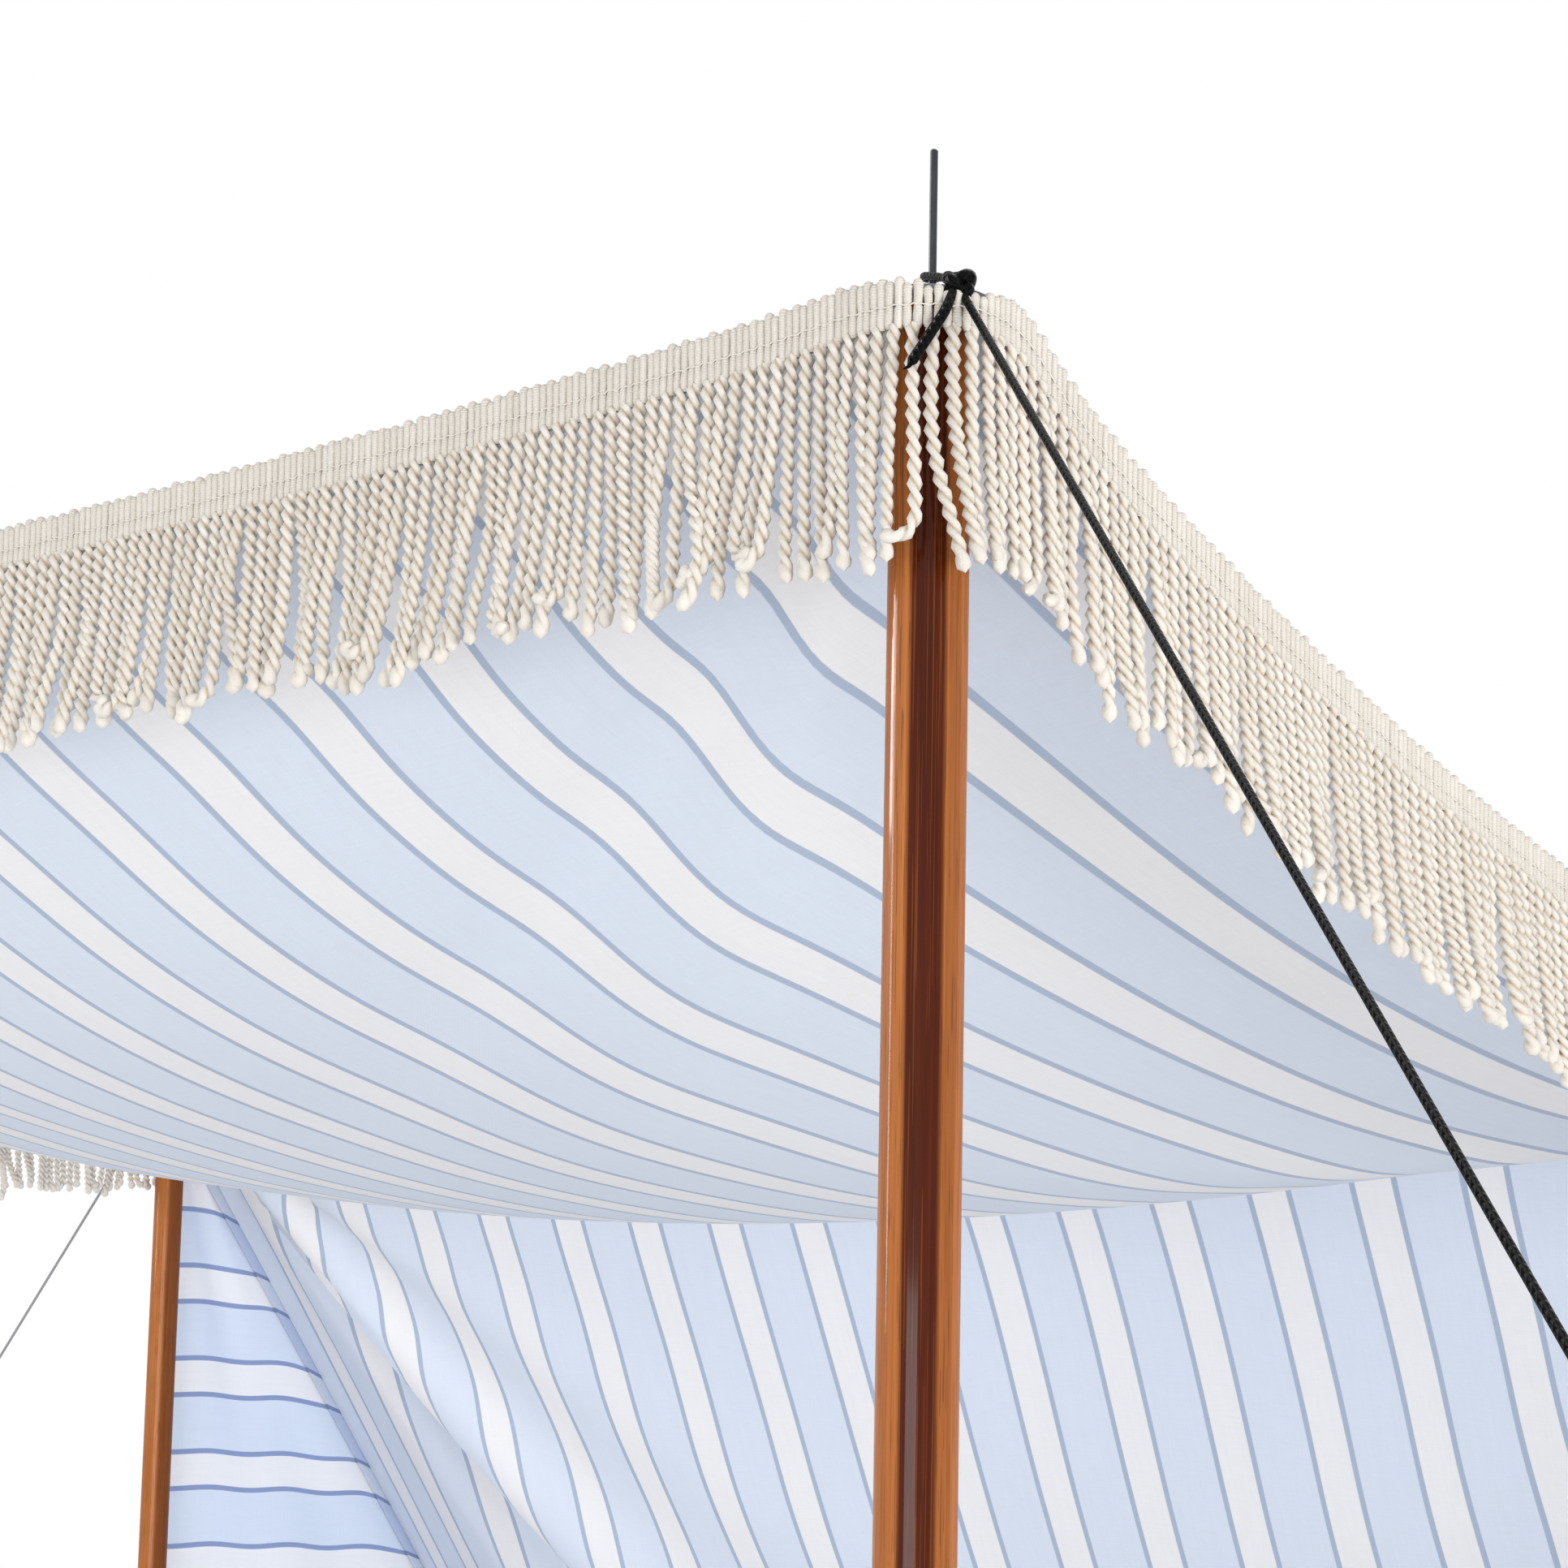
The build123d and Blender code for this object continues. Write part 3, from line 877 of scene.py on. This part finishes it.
peg_loop_height = 0.030
eye_radius = 0.0059
cord_radius = 0.0015
for name, (x, y, top) in corners.items():
    run_x, run_y = guy_runs[name.split("_")[0]]
    side = math.copysign(1, x)
    peg = np.array([x + side * run_x, y + run_y, peg_loop_height])
    away = np.array([side * run_x, run_y, 0])
    away = away / np.linalg.norm(away)
    beside = np.array([-away[1], away[0], 0])
    up = np.array([0.0, 0.0, 1.0])
    cord = black_cord if "front" in name else grey_cord
    axis = np.array([x, y, top])
    reach = 0.0235 / (1 if "front" in name else abs(away[0]))
    knot = axis + away * reach + up * 0.0026

    def local(a, b, c):
        return knot + away * a * 0.001 + beside * b * 0.001 + up * c * 0.001

    near = reach * 1000
    loop_marks = [
        local(1, 2.2, 1.5),
        local(-8, 3.2, 6.0),
        local(-near + 1, 3.3, 10.3),
        local(-near - 2.9, 1.7, 10.6),
        local(-near - 3.1, -1.5, 10.5),
        local(-near + 1, -3.3, 10.1),
        local(-8, -3.0, 5.6),
        local(0, -2, 1),
    ]
    loop = smooth_path(loop_marks, 8)
    tied = [
        local(
            -3.1 * math.sin(3 * a),
            1.6 * (math.sin(a) + 2 * math.sin(2 * a)),
            1.5 * (math.cos(a) - 2 * math.cos(2 * a)) + 0.8,
        )
        for a in np.linspace(0, 2 * math.pi, 85)
    ]
    core = [local(a, 0, 0.6) for a in np.linspace(-5, 5, 13)]
    swell = 0.0054 * np.sqrt(np.clip(1 - (np.linspace(-5, 5, 13) / 5.1) ** 2, 0.004, 1))
    tail_marks = [
        local(1.5, -3, -1.5),
        local(5.6, -5.4, -4.6),
        local(7.8, -9.2, -12),
        local(7.4, -14.4, -20.5),
        local(6.4, -19.2, -28.5),
        local(5.8, -21.6, -32.4),
    ]
    tail = smooth_path(tail_marks, 8)
    tail_radius = np.interp(
        np.linspace(0, 1, len(tail)),
        [0, 0.15, 0.4, 0.93, 1.0],
        [0.0015, 0.0016, 0.0020, 0.0020, 0.0011],
    )
    end = tail[-1]
    first_bit = end + (-beside * 0.6 - up) * 0.0012
    last_bit = end + (-beside * 1.2 - up) * 0.0022
    fray = smooth_path([end, first_bit, last_bit], 3)
    parts = [
        tube(loop, cord_radius, 12),
        tube(tied, 0.0026, 14),
        tube(core, swell, 14),
        tube(tail, tail_radius, 14),
        tube(fray, np.linspace(0.0011, 0.0003, len(fray)), 8),
    ]
    points, faces, along, turn = join(parts)
    make_piece(
        f"knot_cord_{name}",
        points,
        faces,
        cord,
        "guy_cord",
        [f"knot_{name}"],
        along=along,
        turn=turn,
    )

    eye = peg - away * eye_radius
    pull = (eye - knot) / np.linalg.norm(eye - knot)
    rope_start = knot + pull * 0.003
    standing = rope_start + (eye - rope_start) * np.linspace(0, 1, 60)[:, None]
    circle = np.linspace(math.pi, 3 * math.pi, 33)
    ring = [
        peg + away * eye_radius * math.cos(a) + beside * eye_radius * math.sin(a) for a in circle
    ]
    whip = eye - pull * np.linspace(0.006, 0.034, 8)[:, None]
    parts = [tube(standing, cord_radius, 12), tube(ring, 0.0016, 12), tube(whip, 0.0022, 12)]
    points, faces, along, turn = join(parts)
    make_piece(
        f"guy_cord_{name}",
        points,
        faces,
        cord,
        "guy_cord",
        [f"guy_rope_{name}"],
        along=along,
        turn=turn,
    )

# Pegs: galvanised steel rods bent over at the head into a hook, one at the end of each guy.
# They are driven into the ground, so only the shank above it and the hook show.
zinc, w = new_finish("galvanised_steel", Metallic=0.9)
place = w.node("TexCoord", {}, {}, out="Object")
spangle = w.node("TexVoronoi", {}, {"Vector": place, "Scale": 420.0}, out=0)
cloud = speckle(w, place, 0.004, 3.0)
rust = speckle(w, place, 0.007, 4.0).maths("GREATER_THAN", 0.66)
grey = w.mix(shade(138, 141, 145), shade(184, 187, 190), spangle * 0.5 + cloud * 0.5)
w.mix(grey, shade(122, 86, 58), rust * 0.35).into("Base Color")
(0.36 + cloud * 0.3).into("Roughness")
(cloud + spangle * 0.3).raise_by(0.00012)


peg_shank = 0.062
hook_radius = 0.011
peg_radius = 0.004


def hooked_peg(name, foot, away, node):
    up = np.array([0.0, 0.0, 1.0])
    shank = [foot + up * h for h in np.linspace(0.0, peg_shank, 8)]
    bend = []
    for a in np.linspace(0.12, math.pi, 22):
        above = foot + up * (peg_shank + hook_radius * math.sin(a))
        bend.append(above + away * hook_radius * (1 - math.cos(a)))
    leg = [
        foot + up * (peg_shank - h) + away * (2 * hook_radius)
        for h in (0.004, 0.008, 0.011, 0.0128, 0.0137, 0.014)
    ]
    path = np.array(shank + bend + leg)
    radius = np.full(len(path), peg_radius)
    radius[0] = 0.0039
    radius[-3:] = (0.0038, 0.003, 0.0004)
    points, faces, along, turn = tube(path, radius, 20)
    make_piece(name, points, faces, zinc, "peg_steel", [node])


for name, (x, y, top) in corners.items():
    run_x, run_y = guy_runs[name.split("_")[0]]
    side = math.copysign(1, x)
    away = np.array([side * run_x, run_y, 0]) / math.hypot(run_x, run_y)
    foot = np.array([x + side * run_x, y + run_y, 0.0])
    hooked_peg(f"guy_peg_rod_{name}", foot, away, f"guy_peg_{name}")

# Hem loops: flat tabs of cream webbing sewn under the hem of the back wall, each held down
# by a peg of its own. A tab is a doubled length of webbing with a box of stitching near the
# cloth and a hole for the peg.
webbing, w = new_finish("cream_webbing", Sheen_Weight=0.15)
across = w.node("Attribute", {"attribute_name": "across"}, {}, out="Fac")
along = w.node("Attribute", {"attribute_name": "along"}, {}, out="Fac")
ribs = ((across + along * 0.5) * (2 * math.pi / 0.0018)).maths("SINE")
cross_ribs = ((across - along * 0.5) * (2 * math.pi / 0.0018)).maths("SINE")
twill = ribs.maths("MAXIMUM", cross_ribs)
box_side = edge_at((across.maths("ABSOLUTE") - 0.009).maths("ABSOLUTE"), 0.0005, 0.0003)
stitched = (1 - box_side) * (along / 0.003).maths("FRACT").maths("GREATER_THAN", 0.3)
cream = w.mix(shade(212, 200, 176), shade(238, 230, 214), twill * 0.5 + 0.5)
w.mix(cream, shade(250, 248, 242), stitched).into("Base Color")
(0.82 + twill * 0.05).into("Roughness")
(twill + stitched).raise_by(0.0004, 0.7)
hem_edge = wall_top + wall_run + 0.00197
tab_half_width = 0.013
tab_half_length = 0.022
tab_hole = 0.0043
# Steps over a tab: share of the way from the hole to its outer edge, and height.
tab_steps = [
    (0, 0.0004),
    (0, 0.002),
    (0.06, 0.0024),
    (0.5, 0.0024),
    (0.94, 0.0024),
    (1, 0.002),
    (1, 0.0004),
]
for name, x in {"left": 0.060 - half_width, "middle": 0.0, "right": half_width - 0.060}.items():
    around = np.linspace(0, 2 * np.pi, 48, endpoint=False)
    square = np.abs(np.cos(around)) / tab_half_width
    square = np.maximum(square, np.abs(np.sin(around)) / tab_half_length)
    outer = np.column_stack([np.cos(around) / square, np.sin(around) / square])
    inner = np.column_stack([np.cos(around), np.sin(around)]) * tab_hole
    rings = []
    for share, height in tab_steps:
        flat = inner + (outer - inner) * share
        rings.append(np.column_stack([flat, np.full(48, height)]))
    rings.append(rings[0])
    rings = np.array(rings)
    foot = np.array([x, hem_edge + tab_half_length, 0.0])
    make_piece(
        f"hem_tab_{name}",
        rings + foot,
        ring_faces(len(rings), 48),
        webbing,
        "loop_webbing",
        [f"hem_loop_{name}"],
        sharp=45,
        across=rings[..., 0],
        along=rings[..., 1],
    )
    hooked_peg(f"hem_peg_rod_{name}", foot, np.array([0.0, 1.0, 0.0]), f"hem_peg_{name}")

# Studio: a pale floor under the canopy and a white surround, with broad soft lamps at both
# sides, in front and above, and a strip lamp that shows only in the gloss of the varnish.
# The camera stands low outside the front right corner and looks up under the roof.
floor_radius = 4.6
floor_level = -0.0005
bpy.ops.mesh.primitive_circle_add(
    vertices=96, radius=floor_radius, fill_type="NGON", location=(0, 0, floor_level)
)
floor = bpy.context.object
floor.name = "studio_floor"
floor_finish, w = new_finish("pale_floor", Roughness=0.9)
place = w.node("TexCoord", {}, {}, out="Object")
w.mix(shade(236, 236, 236), shade(229, 229, 230), speckle(w, place, 0.4, 2.0)).into("Base Color")
floor.data.materials.append(floor_finish)

world = bpy.data.worlds.new("white_surround")
bpy.context.scene.world = world
world.use_nodes = True
rays = world.node_tree.nodes.new("ShaderNodeLightPath")
seen = Wire(world.node_tree, rays.outputs["Is Camera Ray"])
for kind in ("Is Glossy Ray", "Is Transmission Ray"):
    seen = seen.maths("MAXIMUM", Wire(world.node_tree, rays.outputs[kind]))
background = world.node_tree.nodes["Background"]
background.inputs["Color"].default_value = (1, 1, 1, 1)
fill_light = 0.57
level = seen * (1 - fill_light) + fill_light
world.node_tree.links.new(level.socket, background.inputs["Strength"])


def soft_lamp(name, place, aim, width, height, power):
    lamp = bpy.data.lights.new(name, "AREA")
    lamp.shape = "RECTANGLE"
    lamp.size = width
    lamp.size_y = height
    lamp.energy = power
    holder = bpy.data.objects.new(name, lamp)
    holder.location = place
    holder.rotation_euler = (Vector(aim) - Vector(place)).to_track_quat("-Z", "Y").to_euler()
    bpy.context.scene.collection.objects.link(holder)
    return holder


soft_lamp("left_softbox", (-4.2, -3.4, 2.4), (0, 0, 1.2), 0.6, 2.8, 80)
right_lamp = soft_lamp("right_softbox", (8.4, -2.5, 0.9), (-0.4, 0.3, 0.9), 4.2, 1.7, 355)
right_lamp.visible_glossy = False
soft_lamp("low_front_softbox", (2.8, -5.7, 0.35), (-0.1, 0.1, 1.45), 2.9, 1.6, 110)
soft_lamp("top_softbox", (0, 3.4, 5.2), (0, 0.5, 0.8), 5.0, 4.0, 120)
near_pole = (half_width, front_line, 1.5)
gloss_lamp = soft_lamp("gloss_strip", (-2.9, -1.9, 2.6), near_pole, 0.9, 1.3, 110)
gloss_lamp.visible_diffuse = False

camera = bpy.data.objects.new("camera", bpy.data.cameras.new("camera"))
yaw = math.radians(39.92)
pitch = math.radians(7.26)
roll = math.radians(1.13)
level_ahead = Vector((-math.sin(yaw), math.cos(yaw), 0))
forward = level_ahead * math.cos(pitch) + Vector((0, 0, math.sin(pitch)))
level_right = Vector((math.cos(yaw), math.sin(yaw), 0))
level_up = level_right.cross(forward)
right = level_right * math.cos(roll) + level_up * math.sin(roll)
upward = level_up * math.cos(roll) - level_right * math.sin(roll)
camera.matrix_world = Matrix((right, upward, -forward)).transposed().to_4x4()
camera.location = (1.6468, roof_middle - 1.4960, 1.3770)
sensor = 36
focal_pixels = 3736.4
photo_pixels = 1932
camera.data.sensor_width = sensor
camera.data.lens = sensor * focal_pixels / photo_pixels
camera.data.clip_start = 0.05
bpy.context.scene.collection.objects.link(camera)
bpy.context.scene.camera = camera
bpy.context.scene.view_settings.view_transform = "Standard"
